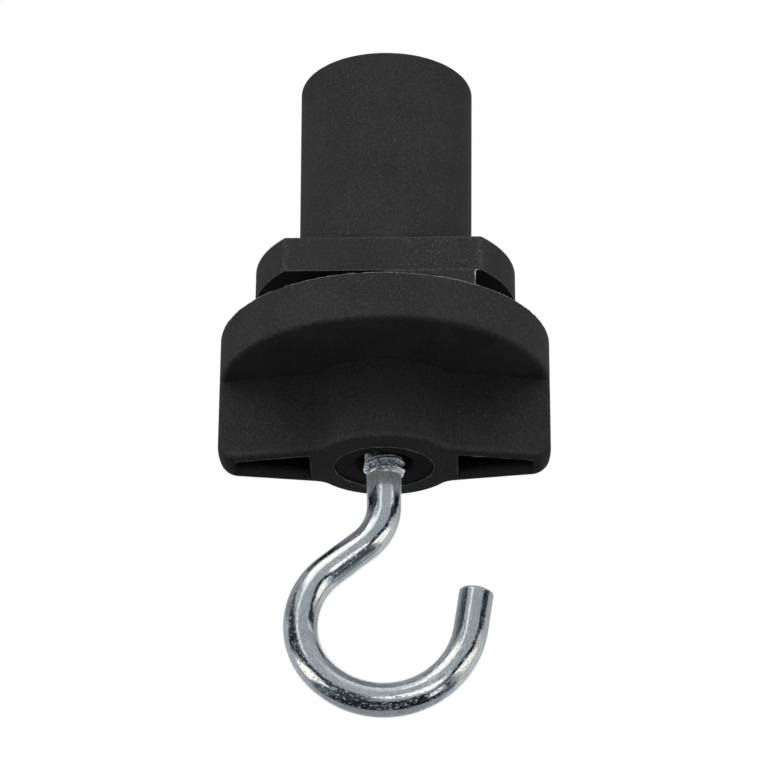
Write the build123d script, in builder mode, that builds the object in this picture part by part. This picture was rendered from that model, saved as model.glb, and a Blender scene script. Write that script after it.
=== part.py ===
# Lighting track hook: a quarter-turn adapter moulded in one piece, with a bush and a wire screw hook.
# Sizes are in millimetres. The origin is on the vertical axis, in the top face of the cover disc, which
# bears on the underside of the track. +Z points up into the track, and the wings lie along X.
import os
from math import radians, tan

from build123d import *

os.makedirs("parts", exist_ok=True)

# Track slot that the cam, the neck and the plug pass, and the room for its lips above the disc
slot_width = 18.0
flat_clearance = 0.14
neck_clearance = 0.2
plug_clearance = 0.13
lip_gap = 4.15

# Locking cam, a round plate with two flats
cam_diameter = 26.3
cam_thickness = 3.7
cam_corner_round = 0.3

# The neck's two squared corners reach past the slot's edge and stop the quarter turn
stop_overlap = 0.1

# Plug above the cam, a little wider at its top, cored out from above
plug_height = 21.3
plug_draft = 0.38
plug_wall = 2.4
plug_edge_round = 0.3
core_draft = 0.5
core_floor_thickness = 3.85

# Cover disc
disc_diameter = 33.0
disc_thickness = 4.8
disc_edge_round = 0.6

# Turning grip: a hub and two wings that taper in plan
grip_height = 8.35
grip_draft = 2.0
hub_wall = 2.35
hub_blend = 2.0
wing_root_thickness = 10.0
wing_tip_thickness = 4.1
wing_end_round = 1.8
grip_edge_round = 0.45

# Pockets moulded into the underside of the wings
pocket_wall = 0.8
pocket_hub_wall = 2.3
pocket_end_wall = 1.75
pocket_roof = 1.75
pocket_corner_round = 0.3
pocket_draft = 1.0

# Bush in the hub, set back a little from the hub's underside and slightly dished
bush_diameter = 9.86
bush_clearance = 0.02
bush_length = 10.0
bush_recess = 0.3
bush_dish = 0.15
mouth_clearance = 0.93
mouth_depth = 3.3

# Screw hook, bent from round wire, with its thread's core turned down from the wire
wire_diameter = 3.44
thread_height = 0.27
thread_fit_clearance = 0.02
thread_start_drop = 0.7
thread_runout = 0.6
screw_end_gap = 0.4
screw_point_length = 1.6
shank_drop = 4.26
neck_bend_radius = 5.29
neck_bend_angle = 51.5
neck_run = 4.19
upper_bend_radius = 7.24
upper_bend_angle = 92.2
lower_bend_radius = 8.43
lower_bend_angle = 130.8
tip_run = 4.02
tip_chamfer = 0.3

# Levels that follow from the sizes above
cam_bottom = lip_gap
cam_top = cam_bottom + cam_thickness
plug_top = cam_top + plug_height
grip_top = -disc_thickness
grip_bottom = grip_top - grip_height
bush_face = grip_bottom + bush_recess
bush_top = bush_face + bush_length
core_floor = bush_top + core_floor_thickness

# Radii and half widths that follow from the sizes above
half_slot = slot_width / 2
half_flat = half_slot - flat_clearance
plug_top_radius = half_slot - plug_clearance
plug_bottom_radius = plug_top_radius - plug_height * tan(radians(plug_draft))
disc_radius = disc_diameter / 2
bush_radius = bush_diameter / 2
bush_seat_radius = bush_radius + bush_clearance
hub_radius = bush_seat_radius + hub_wall
wire_radius = wire_diameter / 2
thread_root_radius = wire_radius - thread_height
wing_slope = (wing_root_thickness - wing_tip_thickness) / 2 / disc_radius


def wing_half_thickness(x):
    """Half the wing's thickness at its underside, at distance x from the axis."""
    return wing_root_thickness / 2 - wing_slope * x


def pocket_half_width(x):
    """Half the pocket's width at distance x from the axis."""
    return wing_half_thickness(x) - pocket_wall


with BuildPart() as adapter_body:
    # Wings and hub, drafted so that they widen towards the disc
    with BuildSketch(Plane.XY.offset(grip_bottom)) as grip_plan:
        wing_reach = disc_radius + grip_height
        wing_end = wing_half_thickness(wing_reach)
        with BuildLine():
            Polyline(
                (0, -wing_root_thickness / 2),
                (wing_reach, -wing_end),
                (wing_reach, wing_end),
                (0, wing_root_thickness / 2),
                (-wing_reach, wing_end),
                (-wing_reach, -wing_end),
                close=True,
            )
        make_face()
        Circle(hub_radius)
        junctions = grip_plan.vertices().filter_by(lambda v: 0 < abs(v.X) < hub_radius)
        fillet(junctions, hub_blend)
    extrude(amount=grip_height, taper=-grip_draft)

    # The wings end flush with the disc, and their lower corners are rounded
    with BuildSketch(Plane.XZ) as wing_limit:
        with BuildLine():
            Polyline((0, 0), (0, grip_bottom), (disc_radius, grip_bottom), (disc_radius, 0), close=True)
        make_face()
        fillet(wing_limit.vertices().group_by(Axis.Y)[0].sort_by(Axis.X)[-1], wing_end_round)
    revolve(axis=Axis.Z, mode=Mode.INTERSECT)
    fillet(adapter_body.faces().sort_by(Axis.Z)[0].outer_wire().edges(), grip_edge_round)

    # Cover disc
    with BuildSketch(Plane.XZ) as disc_profile:
        with BuildLine():
            Polyline((0, 0), (0, grip_top), (disc_radius, grip_top), (disc_radius, 0), close=True)
        make_face()
        fillet(disc_profile.vertices().group_by(Axis.Y)[0].sort_by(Axis.X)[-1], disc_edge_round)
    revolve(axis=Axis.Z)

    # Neck, with a squared corner at two opposite quarters
    with BuildSketch():
        Circle(half_slot - neck_clearance)
        Rectangle(half_slot + stop_overlap, half_flat, align=(Align.MIN, Align.MAX))
        Rectangle(half_slot + stop_overlap, half_flat, align=(Align.MAX, Align.MIN))
    extrude(amount=cam_bottom)

    # Locking cam
    with BuildSketch(Plane.XY.offset(cam_bottom)) as cam_plan:
        Circle(cam_diameter / 2)
        Rectangle(cam_diameter, 2 * half_flat, mode=Mode.INTERSECT)
        fillet(cam_plan.vertices(), cam_corner_round)
    extrude(amount=cam_thickness)

    # Plug
    with BuildSketch(Plane.XZ) as plug_profile:
        with BuildLine():
            Polyline(
                (0, cam_top),
                (plug_bottom_radius, cam_top),
                (plug_top_radius, plug_top),
                (0, plug_top),
                close=True,
            )
        make_face()
        fillet(plug_profile.vertices().group_by(Axis.Y)[-1].sort_by(Axis.X)[-1], plug_edge_round)
    revolve(axis=Axis.Z)

    # Core that keeps the wall of the plug and the neck even, open at the top
    with BuildSketch(Plane.XY.offset(plug_top)):
        Circle(plug_top_radius - plug_wall)
    extrude(amount=core_floor - plug_top, taper=core_draft, mode=Mode.SUBTRACT)

    # Bore for the bush
    with BuildSketch(Plane.XY.offset(grip_bottom)):
        Circle(bush_seat_radius)
    extrude(amount=bush_top - grip_bottom, mode=Mode.SUBTRACT)

    # Pockets, which follow the wings' taper and narrow a little towards their roofs
    pocket_start = bush_seat_radius + pocket_hub_wall
    pocket_end = disc_radius - pocket_end_wall
    pocket_depth = grip_height - pocket_roof
    roof_inset = pocket_depth * tan(radians(pocket_draft))
    for side in (1, -1):
        for level, inset in ((0, 0), (pocket_depth, roof_inset)):
            inner = pocket_start + inset
            outer = pocket_end - inset
            inner_width = pocket_half_width(pocket_start) - inset
            outer_width = pocket_half_width(pocket_end) - inset
            with BuildSketch(Plane.XY.offset(grip_bottom + level)) as pocket_plan:
                with BuildLine():
                    Polyline(
                        (side * inner, -side * inner_width),
                        (side * outer, -side * outer_width),
                        (side * outer, side * outer_width),
                        (side * inner, side * inner_width),
                        close=True,
                    )
                make_face()
                fillet(pocket_plan.vertices(), pocket_corner_round)
        loft(mode=Mode.SUBTRACT)

with BuildPart() as hook_bush:
    mouth_radius = wire_radius + mouth_clearance
    pilot_radius = thread_root_radius + thread_fit_clearance
    with BuildSketch(Plane.XZ):
        with BuildLine():
            Polyline(
                (bush_radius, bush_face),
                (bush_radius, bush_top),
                (pilot_radius, bush_top),
                (pilot_radius, bush_face + mouth_depth),
                (mouth_radius, bush_face + mouth_depth),
                (mouth_radius, bush_face + bush_dish),
                close=True,
            )
        make_face()
    revolve(axis=Axis.Z)

with BuildPart() as screw_hook:
    thread_start = grip_bottom - thread_start_drop
    wire_top = thread_start - thread_runout
    screw_end = bush_top - screw_end_gap

    # Wire, bent back from the axis and round into the ring
    with BuildLine(Plane.XZ) as wire_path:
        shank = Line((0, wire_top), (0, grip_bottom - shank_drop))
        neck_bend = JernArc(shank @ 1, shank % 1, neck_bend_radius, -neck_bend_angle)
        neck_line = PolarLine(neck_bend @ 1, neck_run, direction=neck_bend % 1)
        upper_bend = JernArc(neck_line @ 1, neck_line % 1, upper_bend_radius, upper_bend_angle)
        lower_bend = JernArc(upper_bend @ 1, upper_bend % 1, lower_bend_radius, lower_bend_angle)
        tip_line = PolarLine(lower_bend @ 1, tip_run, direction=lower_bend % 1)
    with BuildSketch(Plane(origin=shank @ 0, z_dir=shank % 0)):
        Circle(wire_radius)
    sweep(path=wire_path.line)
    tip_rim = screw_hook.edges().filter_by(GeomType.CIRCLE).sort_by_distance(tip_line @ 1)[0]
    chamfer(tip_rim, tip_chamfer)

    # Core of the screw above the wire, with a run-out below and a point at its top
    with BuildSketch(Plane.XZ):
        with BuildLine():
            Polyline(
                (0, wire_top),
                (wire_radius, wire_top),
                (thread_root_radius, thread_start),
                (thread_root_radius, screw_end - screw_point_length),
                (0, screw_end),
                close=True,
            )
        make_face()
    revolve(axis=Axis.Z)

adapter_body.part.label = "adapter_body"
hook_bush.part.label = "hook_bush"
screw_hook.part.label = "screw_hook"
export_step(adapter_body.part, "parts/adapter_body.step")
export_step(hook_bush.part, "parts/hook_bush.step")
export_step(screw_hook.part, "parts/screw_hook.step")
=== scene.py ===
from functools import reduce
from math import ceil, cos, pi, radians, sin, tau

import bpy
from mathutils import Matrix, Vector, noise


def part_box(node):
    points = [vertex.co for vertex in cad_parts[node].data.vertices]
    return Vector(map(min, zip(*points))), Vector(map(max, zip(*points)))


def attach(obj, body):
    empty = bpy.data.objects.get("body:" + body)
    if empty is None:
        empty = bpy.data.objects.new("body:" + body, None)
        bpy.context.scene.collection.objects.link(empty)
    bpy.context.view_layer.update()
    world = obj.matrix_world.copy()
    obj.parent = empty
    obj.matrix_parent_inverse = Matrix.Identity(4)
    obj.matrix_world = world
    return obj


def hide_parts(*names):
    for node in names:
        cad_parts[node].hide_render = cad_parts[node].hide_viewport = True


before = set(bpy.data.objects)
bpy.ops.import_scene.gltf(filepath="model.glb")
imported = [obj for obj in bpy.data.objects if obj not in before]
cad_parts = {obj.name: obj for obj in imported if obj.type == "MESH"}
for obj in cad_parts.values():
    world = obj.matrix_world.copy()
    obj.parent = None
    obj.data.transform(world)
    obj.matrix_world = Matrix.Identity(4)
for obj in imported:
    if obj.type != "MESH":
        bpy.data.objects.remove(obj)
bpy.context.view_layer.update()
mm = 0.001

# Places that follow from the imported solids
grip_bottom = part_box("adapter_body")[0].z
disc_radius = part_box("adapter_body")[1].x
bush_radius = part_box("hook_bush")[1].x
screw_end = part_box("screw_hook")[1].z
wire_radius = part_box("screw_hook")[1].y

# Levels and places on the adapter and the bush that their boxes don't give
disc_bottom = -4.8 * mm
cam_bottom = 4.15 * mm
cam_top = 7.85 * mm
cam_radius = 13.15 * mm
flat_reach = 8.86 * mm
stop_reach = 9.1 * mm
cam_corner_x = 9.72 * mm
bore_radius = 4.95 * mm
pocket_start = 7.25 * mm
pocket_end = 14.75 * mm
bush_set_back = 0.12 * mm
bush_top = -2.85 * mm
mouth_radius = 2.65 * mm
mouth_floor = -9.55 * mm
pilot_radius = 1.49 * mm

# Half the pocket's width: carried on to the axis, and what it loses per length outwards
pocket_half_at_axis = 4.2 * mm
pocket_slope = 0.1788

# Camera fitted to the photograph: it stands below the hub and looks up at it
camera_distance = 0.320
camera_azimuth = radians(1.9)
camera_drop = radians(23.55)
camera_pitch = radians(25.02)
camera_roll = 0.0067
camera_lens = 151.64
camera_aside = -0.08 * mm

# Wire bends, as in the solid: bend radius or straight length, and the turn in degrees
shank_drop = 4.26 * mm
wire_runs = (
    ("bend", 5.29 * mm, -51.5),
    ("straight", 4.19 * mm, 0),
    ("bend", 7.24 * mm, 92.2),
    ("bend", 8.43 * mm, 130.8),
    ("straight", 4.02 * mm, 0),
)
tip_chamfer = 0.3 * mm
tip_dome = 0.05 * mm

# Rolled thread, right-handed, fading out over the wire at its lower end
thread_pitch = 1.21 * mm
thread_crest_radius = 2.07 * mm
thread_root_radius = 1.45 * mm
thread_low_crest = -13.98 * mm
ridge_land = 0.15 * mm
ridge_lean = 0.09
ridge_foot = 0.09 * mm
ridge_ragged = 0.16
ridge_wander = 0.05 * mm
twin_ridge_above = 0.34 * mm
twin_ridge_size = 0.86
twin_ridge_ragged = 0.45
web_height = 0.30
web_above = 0.15 * mm
nick_depth = 0.03 * mm
thread_fade_low = -14.36 * mm
thread_fade_high = -13.60 * mm
thread_hidden_end = -9.3 * mm
thread_hidden_fade = 0.5 * mm
core_start = -13.0 * mm
core_runout = 0.8 * mm
screw_point_length = 1.6 * mm

# How finely the meshes are divided: points round them, and spacing along them
wire_columns = 112
hidden_spacing = 1.0 * mm
thread_spacing = 0.028 * mm
wire_spacing = 0.16 * mm
bush_columns = 180
flash_columns = 6
flash_spacing = 0.12 * mm

# Distances along the wire from the hub's underside: the dull skin below the thread, the dented part of
# the bow, and the bend above it that is dented all round
dull_start = 1.5 * mm
dull_end = 3.1 * mm
dented_distance = 30.0 * mm
dented_reach = 17.0 * mm
dented_bend_distance = 11.5 * mm
dented_bend_reach = 5.0 * mm

# Middle of the rubbed patch on the front of the cam
cam_patch = Vector((6.0, -8.86, 5.6)) * mm

# Strength of the rubbed places and painted highlights, of the painted light at the pockets' mouths and of the
# painted shade on the adapter
cam_patch_rub = 0.50
cam_corner_rub_and_highlight = 0.16
cam_rim_rub_and_highlight = 0.30
disc_edge_rub_and_highlight = 0.22
grip_edge_rub_and_highlight = 0.13
pocket_mouth_painted_light = 0.14
pocket_shade = 0.95
plug_foot_shade = 0.50
cam_ledge_shade = 0.45

# Depth of the relief on the zinc
skin_depth = 0.014 * mm
dent_depth = 0.028 * mm
chip_depth = 0.10 * mm

# Colours of the zinc, the painted highlight on the thread's crests, the darker hollows, the grime in the pits
# and the painted shade on the plastic. One that varies has a dark and a light end.
zinc_dark, zinc_light = (0.57, 0.612, 0.640, 1), (0.735, 0.775, 0.798, 1)
dull_dark, dull_light = (0.17, 0.18, 0.175, 1), (0.45, 0.465, 0.455, 1)
thread_zinc = (0.80, 0.89, 0.92, 1)
crest_painted_highlight = (1.0, 1.0, 1.0, 1)
hollow_dark = (0.09, 0.11, 0.13, 1)
pit_grime = (0.07, 0.075, 0.09, 1)
painted_shade_black = (0.004, 0.004, 0.004, 1)


def smooth(value, low, high):
    """0 below low, 1 above high, with a smooth step between them."""
    t = max(0.0, min(1.0, (value - low) / (high - low)))
    return t * t * (3 - 2 * t)


def grey(level, blue=None):
    """A grey colour. Its blue part is given where it differs."""
    return (level, level, level if blue is None else blue, 1)


def circle(radius, z, count=360):
    """Points on a level circle round the upright axis."""
    return [Vector((radius * cos(tau * c / count), radius * sin(tau * c / count), z)) for c in range(count)]


def grid_mesh(name, rings, closed=True, joined=False, cap_start=False, cap_end=False):
    """A mesh through rings with the same number of points. Closed, each ring runs all round. Joined, the last
    ring meets the first one. A cap is a fan to its ring's middle."""
    count = len(rings[0])
    points = [p for ring in rings for p in ring]
    span = count if closed else count - 1
    faces = []
    for r in range(len(rings) if joined else len(rings) - 1):
        next_row = (r + 1) % len(rings) * count
        for c in range(span):
            a, b = c, (c + 1) % count
            faces.append((r * count + a, r * count + b, next_row + b, next_row + a))
    for wanted, ring, flip in ((cap_start, 0, True), (cap_end, len(rings) - 1, False)):
        if wanted:
            points.append(sum(rings[ring], Vector()) / count)
            middle = len(points) - 1
            for c in range(count):
                a, b = ring * count + c, ring * count + (c + 1) % count
                faces.append((b, a, middle) if flip else (a, b, middle))
    mesh = bpy.data.meshes.new(name)
    mesh.from_pydata([tuple(p) for p in points], [], faces)
    mesh.validate()
    mesh.shade_smooth()
    piece = bpy.data.objects.new(name, mesh)
    bpy.context.scene.collection.objects.link(piece)
    return piece


# Materials
class Nodes:
    """Builds a node tree. An input given as a socket is linked, and any other value is set on the socket."""

    def __init__(self, tree):
        self.tree = tree
        tree.nodes.clear()

    def add(self, kind, settings=None, **inputs):
        """Makes a node. Its inputs go by name, with _ for a space, or by place, as in i0."""
        node = self.tree.nodes.new("ShaderNode" + kind)
        for key, value in (settings or {}).items():
            setattr(node, key, value)
        for key, value in inputs.items():
            by_place = key[0] == "i" and key[1:].isdigit()
            socket = node.inputs[int(key[1:]) if by_place else key.replace("_", " ")]
            if isinstance(value, bpy.types.NodeSocket):
                self.tree.links.new(value, socket)
            else:
                socket.default_value = value
        return node

    def math(self, operation, a, b=0.0, clamp=False):
        return self.add("Math", {"operation": operation, "use_clamp": clamp}, i0=a, i1=b).outputs[0]

    def times(self, *factors):
        return reduce(lambda a, b: self.math("MULTIPLY", a, b), factors)

    def total(self, *terms):
        return reduce(lambda a, b: self.math("ADD", a, b), terms)

    def most(self, *values):
        return reduce(lambda a, b: self.math("MAXIMUM", a, b), values)

    def ramp(self, value, low, high, to_low=0.0, to_high=1.0):
        """A smooth step of value from low to high."""
        node = self.add("MapRange", {"interpolation_type": "SMOOTHSTEP"}, Value=value)
        for key, number in (("From Min", low), ("From Max", high), ("To Min", to_low), ("To Max", to_high)):
            node.inputs[key].default_value = number
        return node.outputs["Result"]

    def fall(self, value, low, high, top=1.0):
        """top below low, 0 above high."""
        return self.ramp(value, low, high, top, 0.0)

    def within(self, value, low, high, edge):
        """1 from low to high, falling to 0 over edge outside them."""
        return self.times(self.ramp(value, low - edge, low), self.fall(value, high, high + edge))

    def band(self, value, middle, half):
        """1 where value is at middle, falling to 0 at half away from it."""
        return self.fall(self.math("ABSOLUTE", self.math("SUBTRACT", value, middle)), half * 0.3, half)

    def noise(self, vector, scale, detail=3.0, roughness=0.6):
        node = self.add("TexNoise", None, Vector=vector, Scale=scale, Detail=detail, Roughness=roughness)
        return node.outputs["Fac"]

    def stretched(self, vector, along):
        """vector with its Z scaled by along, which draws a noise out along the wire."""
        node = self.add("Mapping", None, Vector=vector)
        node.inputs["Scale"].default_value = (1.0, 1.0, along)
        return node.outputs[0]

    def reach(self, place):
        """Distance from the upright axis."""
        level_part = self.add("VectorMath", {"operation": "MULTIPLY"}, i0=place, i1=(1, 1, 0)).outputs[0]
        return self.add("VectorMath", {"operation": "LENGTH"}, i0=level_part).outputs["Value"]

    def mix_colour(self, factor, a, b):
        return self.add("Mix", {"data_type": "RGBA"}, i0=factor, i6=a, i7=b).outputs[2]

    def bump(self, height, distance, strength, **inputs):
        node = self.add("Bump", None, Strength=strength, Distance=distance, Height=height, **inputs)
        return node.outputs[0]

    def background_rays(self):
        """1 for rays that see the white background: the camera's, mirrored ones and those through glass."""
        rays = self.add("LightPath").outputs
        return self.most(rays["Is Camera Ray"], rays["Is Glossy Ray"], rays["Is Transmission Ray"])


def new_material(name):
    material = bpy.data.materials.new(name)
    material.use_nodes = True
    return material, Nodes(material.node_tree)


def moulded_plastic(name, dark, light, fleck, specular, roughness, grain_depth, wear_and_painted_light=None):
    """Plastic with a spark-eroded grain, faint clouds and light flecks, which are denser where it is worn and
    where highlights are painted on its edges. Painted shade darkens it where it is given.
    """
    material, n = new_material(name)
    place = n.add("TexCoord").outputs["Object"]
    clouds = n.noise(place, scale=170.0)
    grain = n.noise(place, scale=4300.0, roughness=0.7)
    fine = n.noise(place, scale=8200.0, detail=2.0)
    tone = n.total(n.times(clouds, 0.22), n.times(grain, 0.48), n.times(fine, 0.30))
    colour = n.mix_colour(n.ramp(tone, 0.37, 0.63), dark, light)
    flecks = n.times(n.ramp(n.noise(place, scale=4300.0, detail=2.0, roughness=0.5), 0.60, 0.78), 0.20)
    if wear_and_painted_light:
        rubbed_and_highlit, shaded = wear_and_painted_light(n, place)
        flecks = n.math("ADD", flecks, rubbed_and_highlit, clamp=True)
        # Painted shade: the plastic is darkened towards near black where shade is painted on
        colour = n.mix_colour(shaded, colour, painted_shade_black)
    colour = n.mix_colour(flecks, colour, fleck)
    shader = n.add(
        "BsdfPrincipled", None, Base_Color=colour,
        Roughness=n.ramp(grain, 0.3, 0.7, roughness - 0.06, roughness + 0.06),
        Normal=n.bump(n.total(grain, n.times(fine, 0.6)), grain_depth, strength=0.7),
    )
    shader.inputs["Specular IOR Level"].default_value = specular
    n.add("OutputMaterial", None, Surface=shader.outputs[0])
    return material


def rubbed_and_highlit_edges(n, place, x, z, aside, across, reach, on_cam):
    """Broken light lines along the edges of the cam, the disc and the grip: rubbed wear and painted
    highlights, lighter on the disc's left.
    """
    by_corner = n.ramp(across, flat_reach - 0.5 * mm, flat_reach - 0.2 * mm)
    cam_corners = n.times(n.band(aside, cam_corner_x, 0.5 * mm), on_cam, by_corner)
    by_flat = n.times(
        n.ramp(across, flat_reach - 0.12 * mm, flat_reach - 0.04 * mm),
        n.ramp(reach, flat_reach - 0.06 * mm, flat_reach - 0.02 * mm),
    )
    by_round = n.ramp(reach, cam_radius - 0.12 * mm, cam_radius - 0.04 * mm)
    rims = n.total(n.band(z, cam_top, 0.20 * mm), n.band(z, cam_bottom, 0.16 * mm))
    cam_rims = n.times(rims, n.most(by_flat, by_round))
    disc_edge = n.times(
        n.band(z, disc_bottom + 0.28 * mm, 0.34 * mm),
        n.ramp(reach, disc_radius - 0.7 * mm, disc_radius - 0.4 * mm),
        # Painted highlight: the disc's lower edge is lighter on its left
        n.ramp(x, -1 * mm, 2 * mm, 1.0, 0.25),
    )
    # Painted highlight along the grip's lower edge, with some rubbed wear
    grip_edge = n.fall(z, grip_bottom + 0.35 * mm, grip_bottom + 0.95 * mm)
    lines = n.total(
        n.times(cam_corners, cam_corner_rub_and_highlight), n.times(cam_rims, cam_rim_rub_and_highlight),
        n.times(disc_edge, disc_edge_rub_and_highlight), n.times(grip_edge, grip_edge_rub_and_highlight),
    )
    return n.times(lines, n.ramp(n.noise(place, scale=2900.0, roughness=0.65), 0.38, 0.64, 0.25, 1.3))


def body_wear_and_painted_light(n, place):
    """How far the adapter is lightened by rubbed wear, painted highlights on its edges and painted light at
    the pockets' mouths,
    and how far painted shade darkens it: at the plug's foot, in the corner under the cam and in the pockets."""
    axes = n.add("SeparateXYZ", None, Vector=place).outputs
    x, z = axes["X"], axes["Z"]
    aside, across = n.math("ABSOLUTE", x), n.math("ABSOLUTE", axes["Y"])
    on_cam = n.within(z, cam_bottom, cam_top, 0.05 * mm)
    lines = rubbed_and_highlit_edges(n, place, x, z, aside, across, n.reach(place), on_cam)
    from_patch = n.add("VectorMath", {"operation": "DISTANCE"}, i0=place, i1=tuple(cam_patch))
    patch = n.times(
        n.fall(from_patch.outputs["Value"], 2.5 * mm, 7.0 * mm, cam_patch_rub), on_cam,
        n.ramp(n.noise(place, scale=4800.0, roughness=0.65), 0.52, 0.76),
    )
    # Painted shade at the plug's foot just above the cam
    foot = n.times(
        n.fall(z, cam_top + 0.25 * mm, cam_top + 1.1 * mm, plug_foot_shade),
        n.ramp(z, cam_top, cam_top + 0.03 * mm), n.ramp(aside, 1.5 * mm, 4.0 * mm),
    )
    # Painted shade in the corner under the cam
    ledge = n.times(
        n.ramp(z, cam_bottom - 0.08 * mm, cam_bottom - 0.04 * mm),
        n.fall(z, cam_bottom + 0.002 * mm, cam_bottom + 0.006 * mm), cam_ledge_shade,
    )
    from_side_wall = n.total(across, n.times(aside, pocket_slope))
    in_pocket = n.times(
        n.fall(from_side_wall, pocket_half_at_axis + 0.01 * mm, pocket_half_at_axis + 0.05 * mm),
        n.within(aside, pocket_start - 0.04 * mm, pocket_end + 0.04 * mm, 0.04 * mm),
        n.ramp(z, grip_bottom + 0.03 * mm, grip_bottom + 0.06 * mm),
        n.fall(z, disc_bottom + 0.1 * mm, disc_bottom + 0.2 * mm),
    )
    # Painted shade deep in the pockets
    depth = n.times(in_pocket, n.ramp(z, grip_bottom + 0.5 * mm, grip_bottom + 1.6 * mm, 0.0, pocket_shade))
    # Painted light on the pockets' walls near their mouths
    mouth = n.times(in_pocket, n.fall(z, grip_bottom + 0.3 * mm, grip_bottom + 1.2 * mm, pocket_mouth_painted_light))
    return n.total(lines, patch, mouth), n.most(foot, ledge, depth)


def zinc_plate(name):
    """Bright zinc on drawn wire: streaks along it, dents where it is bent, a dull skin by the thread, and a
    chipped thread with a painted highlight on its crests and darker hollows."""
    material, n = new_material(name)
    place = n.add("Attribute", {"attribute_name": "unbent"}).outputs["Vector"]
    threaded = n.add("Attribute", {"attribute_name": "threaded"}).outputs["Fac"]
    relief = n.add("Attribute", {"attribute_name": "relief"}).outputs["Fac"]
    axes = n.add("SeparateXYZ", None, Vector=place).outputs
    inwards, along = axes["X"], axes["Z"]
    drawn = n.stretched(place, along=0.22)
    streaks = n.noise(drawn, scale=5200.0)
    bands = n.noise(drawn, scale=800.0, roughness=0.55)
    grain = n.noise(place, scale=6200.0, roughness=0.7)
    clouds = n.noise(place, scale=460.0)
    dents = n.noise(n.stretched(place, along=0.5), scale=5600.0)
    chips = n.noise(place, scale=2600.0, roughness=0.65)

    # Where the wire is dented, and where its skin is dull
    outer_side = n.ramp(inwards, -0.4 * wire_radius, 0.5 * wire_radius, 1.0, 0.25)
    all_round = n.band(along, -dented_bend_distance, dented_bend_reach)
    bent = n.times(n.band(along, -dented_distance, dented_reach), n.most(outer_side, all_round))
    fade = n.total(n.ramp(along, -dull_end, -dull_start), n.ramp(streaks, 0.30, 0.70, -0.35, 0.35))
    dull_skin = n.times(n.ramp(fade, 0.20, 0.95), n.math("SUBTRACT", 1.0, n.times(threaded, 0.9)))

    tone = n.total(n.times(streaks, 0.4), n.times(clouds, 0.3), n.times(grain, 0.3))
    colour = n.mix_colour(n.ramp(tone, 0.38, 0.62), zinc_dark, zinc_light)
    dusty = n.mix_colour(n.ramp(grain, 0.36, 0.64), dull_dark, dull_light)
    colour = n.mix_colour(n.times(dull_skin, 0.8), colour, dusty)
    colour = n.mix_colour(n.times(threaded, 0.8), colour, thread_zinc)
    # Darker in the thread's hollows
    hollow = n.times(
        n.fall(relief, 0.30, 0.85, 0.80), n.ramp(threaded, 0.7, 1.0), n.fall(chips, 0.45, 0.54)
    )
    chipped = n.most(n.times(n.fall(chips, 0.38, 0.46, 0.85), threaded), hollow)
    colour = n.mix_colour(chipped, colour, hollow_dark)
    # Painted highlight: the thread's crests are coloured white and made less metallic
    crest = n.times(n.ramp(relief, 0.74, 0.95), n.ramp(chips, 0.42, 0.56, 0.25, 1.0))
    colour = n.mix_colour(crest, colour, crest_painted_highlight)
    pits = n.times(n.fall(grain, 0.30, 0.38, 0.85), n.total(0.12, n.times(bent, 0.88)))
    colour = n.mix_colour(pits, colour, pit_grime)

    rough = n.ramp(n.total(n.times(bands, 0.5), n.times(grain, 0.5)), 0.38, 0.66, 0.015, 0.10)
    rough = n.total(rough, n.times(dull_skin, 0.26))
    metal = n.math("SUBTRACT", 1.0, n.most(n.times(dull_skin, 0.40), n.times(crest, 0.30)))
    height = n.total(n.times(streaks, 0.25), n.times(bands, 0.8), n.times(grain, 0.50))
    skin = n.bump(height, skin_depth, strength=0.5)
    dented = n.total(n.ramp(dents, 0.57, 0.71), n.times(dents, 0.35))
    dented_skin = n.bump(dented, dent_depth, strength=n.total(0.22, n.times(bent, 0.78)), Normal=skin)
    chipping = n.times(threaded, n.math("SUBTRACT", 1.0, n.times(crest, 0.85)))
    normal = n.bump(chips, chip_depth, strength=chipping, Normal=dented_skin)
    shader = n.add("BsdfPrincipled", None, Base_Color=colour, Metallic=metal, Roughness=rough, Normal=normal)
    n.add("OutputMaterial", None, Surface=shader.outputs[0])
    return material


adapter_plastic = moulded_plastic(
    "adapter_plastic", dark=grey(0.0220), light=grey(0.0395), fleck=grey(0.120),
    specular=0.02, roughness=0.65, grain_depth=0.014 * mm, wear_and_painted_light=body_wear_and_painted_light,
)
bush_plastic = moulded_plastic(
    "bush_plastic", dark=grey(0.0130), light=grey(0.0270), fleck=grey(0.070),
    specular=0.02, roughness=0.60, grain_depth=0.012 * mm,
)
# The flash beads are coloured light: painted highlights along the moulded edges
flash_painted_highlight = moulded_plastic(
    "flash_painted_highlight", dark=grey(0.070, 0.068), light=grey(0.210, 0.205), fleck=grey(0.450, 0.440),
    specular=0.05, roughness=0.60, grain_depth=0.012 * mm,
)
flash_painted_highlight_bright = moulded_plastic(
    "flash_painted_highlight_bright", dark=grey(0.30, 0.295), light=grey(0.55, 0.54), fleck=grey(0.80, 0.79),
    specular=0.05, roughness=0.60, grain_depth=0.012 * mm,
)
zinc = zinc_plate("zinc_wire")

for node, material in (("adapter_body", adapter_plastic), ("hook_bush", bush_plastic), ("screw_hook", zinc)):
    for material_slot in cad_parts[node].material_slots:
        material_slot.material = material


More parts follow.
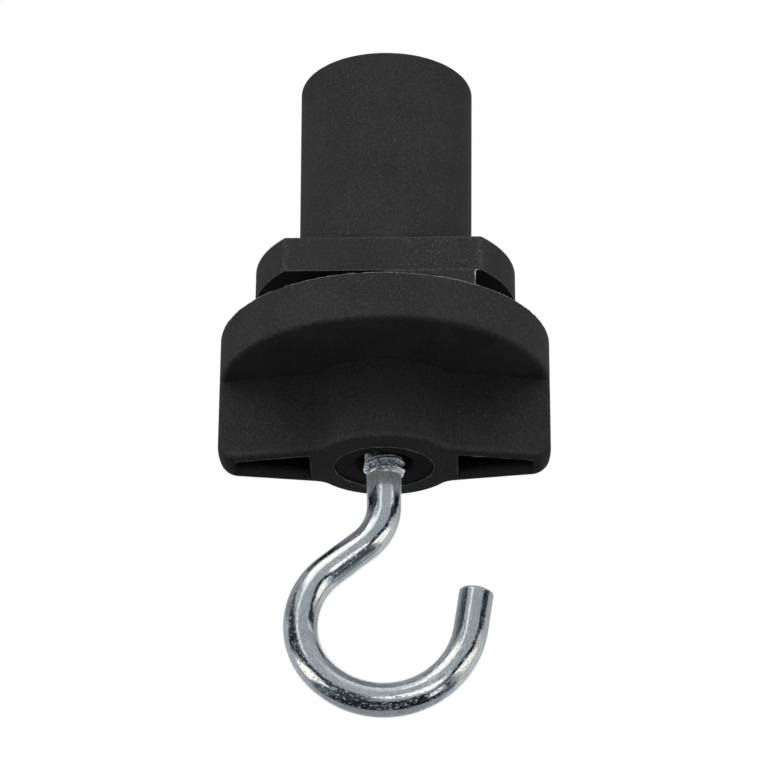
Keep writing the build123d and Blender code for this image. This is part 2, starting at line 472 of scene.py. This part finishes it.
# Screw hook
def wire_stations(spacing):
    """(distance, point, heading) along the wire's centre line, from the hub's underside to the hook's tip."""
    at, heading, gone = Vector((0, 0, grip_bottom)), -pi / 2, 0.0
    stations = [(gone, at.copy(), heading)]
    for kind, size, turn in (("straight", shank_drop, 0),) + wire_runs:
        length = size if kind == "straight" else size * abs(radians(turn))
        steps = ceil(length / spacing)
        start, first = at.copy(), heading
        for i in range(1, steps + 1):
            t = i / steps
            if kind == "straight":
                at = start + Vector((cos(first), 0, sin(first))) * length * t
            else:
                side = 1 if turn > 0 else -1
                centre = start + Vector((-sin(first), 0, cos(first))) * size * side
                heading = first + radians(turn) * t
                at = centre - Vector((-sin(heading), 0, cos(heading))) * size * side
            stations.append((gone + length * t, at.copy(), heading))
        gone += length
    return stations


def core_radius(z):
    """Radius of the screw's core and of the wire at height z on the straight part."""
    if z > screw_end - screw_point_length:
        return thread_root_radius * (screw_end - z) / screw_point_length
    narrowed = smooth(z, core_start - core_runout, core_start)
    return thread_root_radius + (wire_radius - thread_root_radius) * (1 - narrowed)


def ridge_profile(off):
    """Height from 0 to 1 of one ridge at a distance above its middle: a steep foot on each side, and a land
    between them that leans downwards."""
    low, high = -ridge_land / 2, ridge_land / 2
    if off < low:
        return (1 - ridge_lean) * max(0.0, 1 + (off - low) / ridge_foot)
    if off < high:
        return 1 - ridge_lean * (high - off) / ridge_land
    return max(0.0, 1 - (off - high) / ridge_foot)


def thread_rise(turn, z):
    """Height of the rolled thread over the core at angle turn and height z: a ragged ridge, a twin ridge just
    above it, and a low web that both stand on."""
    phase = (z - thread_low_crest) / thread_pitch - turn / tau
    off_crest = (phase - round(phase)) * thread_pitch
    around = Vector((cos(turn), sin(turn), z / mm * 0.9))
    ragged = 1 + ridge_ragged * noise.noise(around * 2.3)
    wander = ridge_wander * noise.noise(around * 3.1 + Vector((7, 2, 5)))
    twin_height = twin_ridge_size + twin_ridge_ragged * noise.noise(around * 1.3 + Vector((3, 1, 4)))
    twin = ridge_profile(off_crest - twin_ridge_above + wander) * twin_height
    web = web_height - abs(off_crest - web_above) / mm
    flank = max(ridge_profile(off_crest + wander), twin, web)
    full = smooth(z, thread_fade_low, thread_fade_high)
    full *= 1 - smooth(z, thread_hidden_end - thread_hidden_fade, thread_hidden_end)
    nicks = nick_depth * noise.noise(around * 7.0) * min(1.0, flank * 3)
    return ((thread_crest_radius - core_radius(z)) * ragged * min(1.05, flank) + nicks) * full


def ripple(turn, distance):
    """Slight unevenness of the drawn wire."""
    spot = Vector((cos(turn) * 1.1, sin(turn) * 1.1, distance / mm * 0.33))
    return 0.007 * mm * noise.noise(spot) + 0.004 * mm * noise.noise(spot * 2.7)


def thread_heights():
    """Heights of the rings of the straight part, from the screw's point down: few where the bush hides it."""
    heights = [screw_end - 0.02 * mm, screw_end - 0.8 * mm, screw_end - screw_point_length]
    z = heights[-1] - hidden_spacing
    while z > thread_hidden_end + 0.3 * mm:
        heights.append(z)
        z -= hidden_spacing
    z = thread_hidden_end
    while z > grip_bottom - shank_drop * 0.4:
        heights.append(z)
        z -= thread_spacing
    return heights


def make_hook():
    """The screw and the wire in one mesh. It keeps each point's place on the straight wire before bending,
    how far it is in the thread, and how high on the ridge it is."""
    rings, unbent, threaded, relief = [], [], [], []

    def add_ring(centre, heading, distance, radius_at, in_thread=0.0, relief_at=None):
        across = Vector((sin(heading), 0, -cos(heading)))
        side = Vector((0, 1, 0))
        ring = []
        for c in range(wire_columns):
            turn = tau * c / wire_columns
            radius = radius_at(turn)
            ring.append(centre - across * radius * cos(turn) + side * radius * sin(turn))
            unbent.append((cos(turn) * wire_radius, sin(turn) * wire_radius, -distance))
            threaded.append(in_thread)
            relief.append(max(0.0, relief_at(turn)) if relief_at else 0.0)
        rings.append(ring)

    heights = thread_heights()
    for z in heights:
        add_ring(
            Vector((0, 0, z)), -pi / 2, grip_bottom - z,
            lambda turn: core_radius(z) + thread_rise(turn, z),
            smooth(z, thread_fade_low - 0.2 * mm, thread_fade_high),
            lambda turn: thread_rise(turn, z) / (thread_crest_radius - core_radius(z)),
        )
    stations = wire_stations(wire_spacing)
    total, tip, tip_heading = stations[-1]
    for distance, point, heading in stations:
        passed = point.z > heights[-1] - 0.05 * mm and distance < shank_drop
        if not passed and distance <= total - tip_chamfer - 0.02 * mm:
            add_ring(point, heading, distance, lambda turn: wire_radius + ripple(turn, distance))
    forward = Vector((cos(tip_heading), 0, sin(tip_heading)))
    for t in (0, 0.25, 0.5, 0.75, 1.0):
        angle = t * pi / 2
        back = tip_chamfer * (1 - sin(angle)) + tip_dome
        radius = wire_radius - tip_chamfer * (1 - cos(angle))
        add_ring(tip - forward * back, tip_heading, total - back, lambda turn: radius)
    add_ring(tip - forward * tip_dome * 0.4, tip_heading, total, lambda turn: wire_radius * 0.4)

    piece = grid_mesh("hook_wire", rings, cap_start=True, cap_end=True)
    mesh = piece.data
    cap_middles = len(mesh.vertices) - len(unbent)
    unbent.extend([(0, 0, 0)] * cap_middles)
    for name, kind, field, values in (
        ("unbent", "FLOAT_VECTOR", "vector", [v for point in unbent for v in point]),
        ("threaded", "FLOAT", "value", threaded + [0.0] * cap_middles),
        ("relief", "FLOAT", "value", relief + [0.0] * cap_middles),
    ):
        mesh.attributes.new(name, kind, "POINT").data.foreach_set(field, values)
    mesh.materials.append(zinc)
    return piece


hook_wire = make_hook()
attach(hook_wire, "root")
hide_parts("screw_hook")


# Bush
def make_bush():
    """The bush with a lipped rim and a softly rounded, slightly torn mouth round the screw."""
    face = grip_bottom + bush_set_back
    rim = (
        (bush_radius, bush_top), (bush_radius, face + 0.12 * mm), (bush_radius - 0.03 * mm, face + 0.03 * mm),
        (bush_radius - 0.10 * mm, face), (bush_radius - 0.22 * mm, face + 0.01 * mm),
    )
    dish_mm = ((4.3, 0.03), (3.7, 0.06), (3.3, 0.09), (3.05, 0.15), (2.88, 0.26), (2.76, 0.42), (2.69, 0.65))
    dish = [(radius * mm, face + depth * mm) for radius, depth in dish_mm]
    bore = (
        (mouth_radius, face + 1.1 * mm), (mouth_radius, mouth_floor), (pilot_radius, mouth_floor),
        (pilot_radius, bush_top),
    )
    rings = []
    for c in range(bush_columns):
        turn = tau * c / bush_columns
        heading = Vector((cos(turn), sin(turn), 0))
        ring = []
        for r, z in (*rim, *dish, *bore):
            near_mouth = smooth(r, 2.62 * mm, 2.7 * mm) * (1 - smooth(r, 3.2 * mm, 4.2 * mm))
            torn = near_mouth * noise.noise(heading * 2.6 + Vector((0, 0, r / mm * 1.3)))
            ring.append(heading * (r + 0.07 * mm * torn) + Vector((0, 0, z + 0.06 * mm * torn)))
        rings.append(ring)
    return grid_mesh("bush_insert", rings, joined=True)


bush = make_bush()
bush.data.materials.append(bush_plastic)
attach(bush, "root")
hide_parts("hook_bush")


# Flash on the moulded edges, coloured light as a painted highlight. Each bead's section is turned by this
# direction, along which no edge runs.
off_edges = Vector((0.37, 0.22, 0.90))


def flash_line(name, corners, size, material, closed=False):
    """A thin ragged bead of plastic along an edge that runs through the corners."""
    ends = corners + corners[:1] if closed else corners
    path = []
    for start, end in zip(ends, ends[1:]):
        steps = max(1, ceil((end - start).length / flash_spacing))
        path.extend(start.lerp(end, i / steps) for i in range(steps))
    if not closed:
        path.append(ends[-1])
    rings = []
    for i, point in enumerate(path):
        before = path[i - 1] if i or closed else point
        after = path[(i + 1) % len(path)] if i + 1 < len(path) or closed else point
        heading = (after - before).normalized()
        side = heading.cross(off_edges).normalized()
        lift = side.cross(heading)
        spot = point / mm
        thick = size * max(0.25, 0.75 + 0.9 * noise.noise(spot * 0.8) + 0.7 * noise.noise(spot * 2.9))
        sway = side * noise.noise(spot * 1.7 + Vector((5, 0, 0))) + lift * noise.noise(spot * 1.7)
        middle = point + sway * size * 0.3
        turns = [tau * c / flash_columns for c in range(flash_columns)]
        rings.append([middle + (side * cos(turn) + lift * sin(turn)) * thick for turn in turns])
    line = grid_mesh(name, rings, joined=closed, cap_start=not closed, cap_end=not closed)
    line.data.materials.append(material)
    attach(line, "root")


disc_rim = circle(disc_radius - 0.10 * mm, 0.05 * mm)
bore_rim = circle(bore_radius, grip_bottom - 0.02 * mm)
flash_line("disc_rim_flash", disc_rim, size=0.075 * mm, material=flash_painted_highlight, closed=True)
flash_line("bore_rim_flash", bore_rim, size=0.065 * mm, material=flash_painted_highlight, closed=True)
for side, name in ((1, "front"), (-1, "back")):
    # Up the corner of the neck, and a little outwards under the cam
    x, y = side * (stop_reach + 0.02 * mm), side * -flat_reach
    flash_line("stop_flash_" + name, [
        Vector((x, y, 0.1 * mm)),
        Vector((x, y, cam_bottom - 0.25 * mm)),
        Vector((x + side * 0.08 * mm, y, cam_bottom - 0.03 * mm)),
        Vector((x + side * 0.45 * mm, y, cam_bottom)),
    ], size=0.075 * mm, material=flash_painted_highlight_bright)
for side, name in ((1, "right"), (-1, "left")):
    # Along the hub's end and the front edge of the pocket's mouth
    near_half, far_half = (pocket_half_at_axis - pocket_slope * x for x in (pocket_start, pocket_end))
    rim = [
        (pocket_start, near_half - 0.8 * mm), (pocket_start, 0.1 * mm - near_half),
        (pocket_start + 0.15 * mm, -near_half), (pocket_end - 0.25 * mm, -far_half),
        (pocket_end - 0.08 * mm, 0.12 * mm - far_half),
    ]
    corners = [Vector((side * x, y, grip_bottom - 0.03 * mm)) for x, y in rim]
    flash_line("pocket_flash_" + name, corners, size=0.060 * mm, material=flash_painted_highlight)


# Studio
# What the bright metal mirrors, by direction in degrees: azimuth 0 faces the camera's side, positive to its
# right. Later cards cover earlier ones. The columns are the middle's azimuth and elevation, the half width,
# the half height, the tilt, the brightness, the warmth and the softness of the edge.
studio_cards = (
    ("left_wall", -128, 5, 40, 30, 0, 0.52, 0.0, 10),
    ("upper_left_wall", -112, 44, 52, 20, 0, 0.34, 0.5, 8),
    ("left_wall_shade", -102, 27, 14, 5, 0, 0.22, 0.2, 5),
    ("upper_right_wall", 95, 35, 60, 28, 0, 0.42, 0.0, 12),
    ("back_right_lamp", 152, 42, 18, 13, 0, 1.20, 0.4, 6),
    ("right_wall", 108, -10, 36, 26, 0, 0.52, 0.5, 10),
    ("front_softbox", 18, 32, 46, 36, 0, 0.47, 0.0, 4),
    ("softbox_top", -4, 57, 30, 18, 0, 0.82, 0.1, 10),
    ("left_softbox", -32, 43, 25, 8.5, -24, 1.55, 1.0, 3.5),
    ("left_gap", -64, 15, 20, 17, -6, 0.05, -1.5, 3),
    ("left_gap_top", -75, 33, 9, 7, 0, 0.08, -1.0, 3),
    ("left_gap_side", -40, 14, 12, 7, -38, 0.05, -1.5, 3),
    ("left_softbox_corner", -47, 30, 6, 3.5, -38, 0.7, 0.5, 3),
    ("left_gap_low", -74, 4, 20, 5, 4, 0.02, -1.5, 3),
    ("left_gap_near", -43, -2, 18, 7, -6, 0.035, -1.5, 3),
    ("left_softbox_edge", -21, 22, 5.5, 14, -10, 1.15, 0.6, 3),
    ("lower_back_right", 180, -58, 88, 32, 0, 0.36, 0.0, 8),
    ("lower_back_left", -180, -58, 88, 32, 0, 0.36, 0.0, 8),
    ("lower_gap", 0, -64, 108, 34, 0, 0.022, -1.5, 4),
    ("lower_left_haze", -68, -39, 24, 7, 0, 0.16, -0.8, 6),
    ("lower_right_haze", 74, -40, 24, 6, 0, 0.16, -0.8, 5),
    ("lower_front_gap", -28, -18, 22, 20, 0, 0.065, -1.2, 4),
    ("left_low_lamp", -64, -19, 26, 9.5, 0, 1.55, 1.3, 2.5),
    ("front_low_lamp", 11, -9, 17, 7, -25, 1.60, 1.1, 2),
    ("right_gap", 35, -13, 12, 5, -56, 0.08, -1.5, 2.5),
    ("right_gap_low", 52, -29, 19, 7, -33, 0.06, -1.0, 2.5),
    ("right_low_wall", 92, -12, 44, 17, -6, 0.66, 0.6, 8),
    ("right_low_lamp", 64, -12, 21, 9.5, -6, 1.30, 1.3, 2),
    ("right_dark_strip", 75, 16, 22, 8, 12, 0.035, -1.5, 2.5),
    ("right_dark_line", 45, -2, 17, 8, 28, 0.02, -1.5, 1.5),
    ("right_strip_rim", 62, 25.5, 17, 1.8, 14, 0.95, 0.3, 1.5),
    ("floor_lamp", 52, -41, 12, 5, -32, 1.50, 1.0, 1.5),
    ("floor_sheen", -6, -57, 13, 5, 0, 0.18, 0.0, 4),
)
cool_light, warm_light = Vector((0.940, 0.985, 1.025)), Vector((1.045, 1.01, 0.935))
studio_radius = 0.33
studio_middle = Vector((0, 0, -0.027))
studio_pole = 89.5
window_side = 152
window_low = -14
window_high = 62


def tent_light(azimuth, elevation):
    """Colour and brightness of the studio in one direction. The cards' edges wander a little."""
    drift = Vector((azimuth, elevation, 0))
    azimuth_here = azimuth + 3.0 * noise.noise(drift * 0.07) + 1.2 * noise.noise(drift * 0.23)
    elevation_here = elevation + 2.4 * noise.noise(drift * 0.09 + Vector((9, 4, 2)))
    behind = smooth(abs(azimuth), 128, 160) * smooth(elevation, -26, -10)
    level = 0.46 + 0.34 * behind - 0.14 * smooth(elevation, 60, 72)
    warmth = 0.2
    for card in studio_cards:
        _, card_azimuth, card_elevation, half_width, half_height, tilt, brightness, warm, softness = card
        x, y = azimuth_here - card_azimuth, elevation_here - card_elevation
        tilted_x = x * cos(radians(tilt)) + y * sin(radians(tilt))
        tilted_y = -x * sin(radians(tilt)) + y * cos(radians(tilt))
        inside = 1.0
        for offset, half in ((tilted_x, half_width), (tilted_y, half_height)):
            inside *= 1 - smooth(abs(offset), half - softness, half + softness)
        level += (brightness - level) * inside
        warmth += (warm - warmth) * inside
    return cool_light.lerp(warm_light, warmth) * max(0.0, level)


def mirror_only(piece, material):
    """Gives the piece its glow and shows it to reflections alone."""
    piece.data.materials.append(material)
    for rays in ("camera", "diffuse", "transmission", "shadow", "volume_scatter"):
        setattr(piece, "visible_" + rays, False)


def make_tent(name, azimuths, elevations):
    """Part of the shell round the object that the metal mirrors."""
    (left, right), (low, high) = azimuths, elevations
    rows, columns = ceil(high - low), ceil(right - left)
    rings, lights = [], []
    for r in range(rows + 1):
        elevation = low + (high - low) * r / rows
        ring = []
        for c in range(columns + 1):
            azimuth = left + (right - left) * c / columns
            a, e = radians(azimuth), radians(elevation)
            ring.append(studio_middle + Vector((sin(a) * cos(e), -cos(a) * cos(e), sin(e))) * studio_radius)
            lights.append(tent_light((azimuth + 180) % 360 - 180, elevation))
        rings.append(ring)
    tent = grid_mesh(name, rings, closed=False)
    light = tent.data.attributes.new("light", "FLOAT_VECTOR", "POINT")
    light.data.foreach_set("vector", [v for colour in lights for v in colour])
    material, n = new_material(name)
    glow = n.add("Emission", None, Color=n.add("Attribute", {"attribute_name": "light"}).outputs["Vector"])
    n.add("OutputMaterial", None, Surface=glow.outputs[0])
    mirror_only(tent, material)


# The window behind the object, between these parts, shows the white background
make_tent("studio_tent", (-window_side, window_side), (-studio_pole, studio_pole))
make_tent("studio_tent_low", (window_side, 360 - window_side), (-studio_pole, window_low))
make_tent("studio_tent_high", (window_side, 360 - window_side), (window_high, studio_pole))

# Grey cards under the black adapter, so that the wire mirrors the soft grey of the photograph there
card_dim = 0.16
card_bright = 0.34
card_tint = (0.96, 0.98, 1.06, 1)
card_fade = 2.5 * mm
card_dark = 0.06
wing_reach = disc_radius - 0.4 * mm
wing_tip_half = 2.2 * mm
wing_root_half = 4.2 * mm
wing_root_x = 0.42 * wing_reach
hub_reach = 7.2 * mm


def make_card(name, outline, level, hole, dark_from):
    """A flat card with a round hole that only reflections see. It is dark from a distance outwards."""
    rings = [[p * t + Vector((0, 0, level)) for p in outline] for t in (hole / outline[0].length, 1.0)]
    card = grid_mesh(name, rings)
    material, n = new_material(name)
    place = n.add("TexCoord").outputs["Object"]
    cloudy = n.ramp(n.noise(place, scale=190.0, detail=2.0, roughness=0.5), 0.35, 0.65, card_dim, card_bright)
    outwards = n.ramp(n.reach(place), dark_from, dark_from + card_fade, 1.0, card_dark)
    glow = n.add("Emission", None, Strength=n.times(cloudy, outwards))
    glow.inputs["Color"].default_value = card_tint
    n.add("OutputMaterial", None, Surface=glow.outputs[0])
    mirror_only(card, material)


# Half of the grip's outline, roughly: from the right wing's front corner round the back of the hub to the
# left wing. The other half is the same, turned half round.
half_outline = [Vector((wing_reach, y, 0)) for y in (-wing_tip_half, wing_tip_half)]
half_outline.append(Vector((wing_root_x, wing_root_half, 0)))
half_outline += [Vector((sin(radians(a)), cos(radians(a)), 0)) * hub_reach for a in range(50, -51, -10)]
half_outline.append(Vector((-wing_root_x, wing_root_half, 0)))
grip_outline = half_outline + [-p for p in half_outline]
make_card("grip_card", grip_outline, grip_bottom - 0.12 * mm, hole=2.6 * mm, dark_from=7.5 * mm)
disc_outline = circle(disc_radius, 0, 90)
make_card("disc_card", disc_outline, disc_bottom - 0.06 * mm, hole=7.6 * mm, dark_from=disc_radius)

# Pale floor. Under the object it gives little light back, so the undersides stay as dark as in the
# photograph, and further out it fades into the white background.
floor_level = -0.36
floor_radius = 1.6
floor_rings = [circle(r * floor_radius, floor_level, 96) for r in (0.02, 0.2, 0.4, 0.6, 0.8, 1.0)]
floor = grid_mesh("studio_floor", floor_rings, cap_start=True)
material, n = new_material("studio_floor")
place = n.add("TexCoord").outputs["Object"]
reach = n.reach(place)
mottle = n.ramp(n.noise(place, scale=30.0, roughness=0.5), 0.3, 0.7)
pale = n.mix_colour(mottle, grey(0.76), grey(0.79))
bounce = n.mix_colour(n.ramp(reach, 0.40, 0.80), grey(0.07), grey(0.62))
surface = n.add("BsdfDiffuse", None, Color=n.mix_colour(n.background_rays(), bounce, pale))
clear = n.add("BsdfTransparent")
fade = n.ramp(reach, 0.7, floor_radius)
faded = n.add("MixShader", None, i0=fade, i1=surface.outputs[0], i2=clear.outputs[0])
n.add("OutputMaterial", None, Surface=faded.outputs[0])
floor.data.materials.append(material)

# White background for what the camera and the metal see, and a soft dome of light for the surfaces
world = bpy.data.worlds.new("studio")
bpy.context.scene.world = world
world.use_nodes = True
n = Nodes(world.node_tree)
sky = n.add("SeparateXYZ", None, Vector=n.add("TexCoord").outputs["Generated"]).outputs
# The dome is dim under the horizon and bright high up, most on the camera's side. Right overhead it is dimmer
# again, and its left is a little brighter than its right.
front_light = n.ramp(sky["Y"], -0.35, 0.45, 2.05, 0.75)
low_light = n.ramp(sky["Z"], -0.34, -0.06, 0.07, 0.50)
level = n.total(low_light, n.times(n.ramp(sky["Z"], 0.26, 0.50), front_light))
level = n.math("SUBTRACT", level, n.ramp(sky["Z"], 0.80, 0.95, 0.0, 0.5))
level = n.times(level, n.ramp(sky["X"], -0.9, 0.9, 1.12, 0.94))
dome = n.add("Background", None, Strength=level)
white = n.add("Background", None, Strength=1.0)
for light in (dome, white):
    light.inputs["Color"].default_value = grey(1)
shown = n.add("MixShader", None, i0=n.background_rays(), i1=dome.outputs[0], i2=white.outputs[0])
n.add("OutputWorld", None, Surface=shown.outputs[0])

# Camera
bpy.context.scene.view_settings.view_transform = "Standard"
lens = bpy.data.cameras.new("camera")
lens.lens = camera_lens
lens.sensor_width = 36
lens.clip_start = 0.01
camera = bpy.data.objects.new("camera", lens)
bpy.context.scene.collection.objects.link(camera)


def camera_side(drop):
    """Direction from the hub to the camera's side, drop below the level."""
    return Vector((sin(camera_azimuth) * cos(drop), -cos(camera_azimuth) * cos(drop), -sin(drop)))


right = Vector((cos(camera_azimuth), sin(camera_azimuth), 0))
back = camera_side(camera_pitch)
up = back.cross(right)
turned_right = right * cos(camera_roll) + up * sin(camera_roll)
turned_up = up * cos(camera_roll) - right * sin(camera_roll)
stand = Vector((camera_aside, 0, grip_bottom)) + camera_side(camera_drop) * camera_distance
axes = Matrix((turned_right, turned_up, back)).transposed()
camera.matrix_world = Matrix.Translation(stand) @ axes.to_4x4()
bpy.context.scene.camera = camera
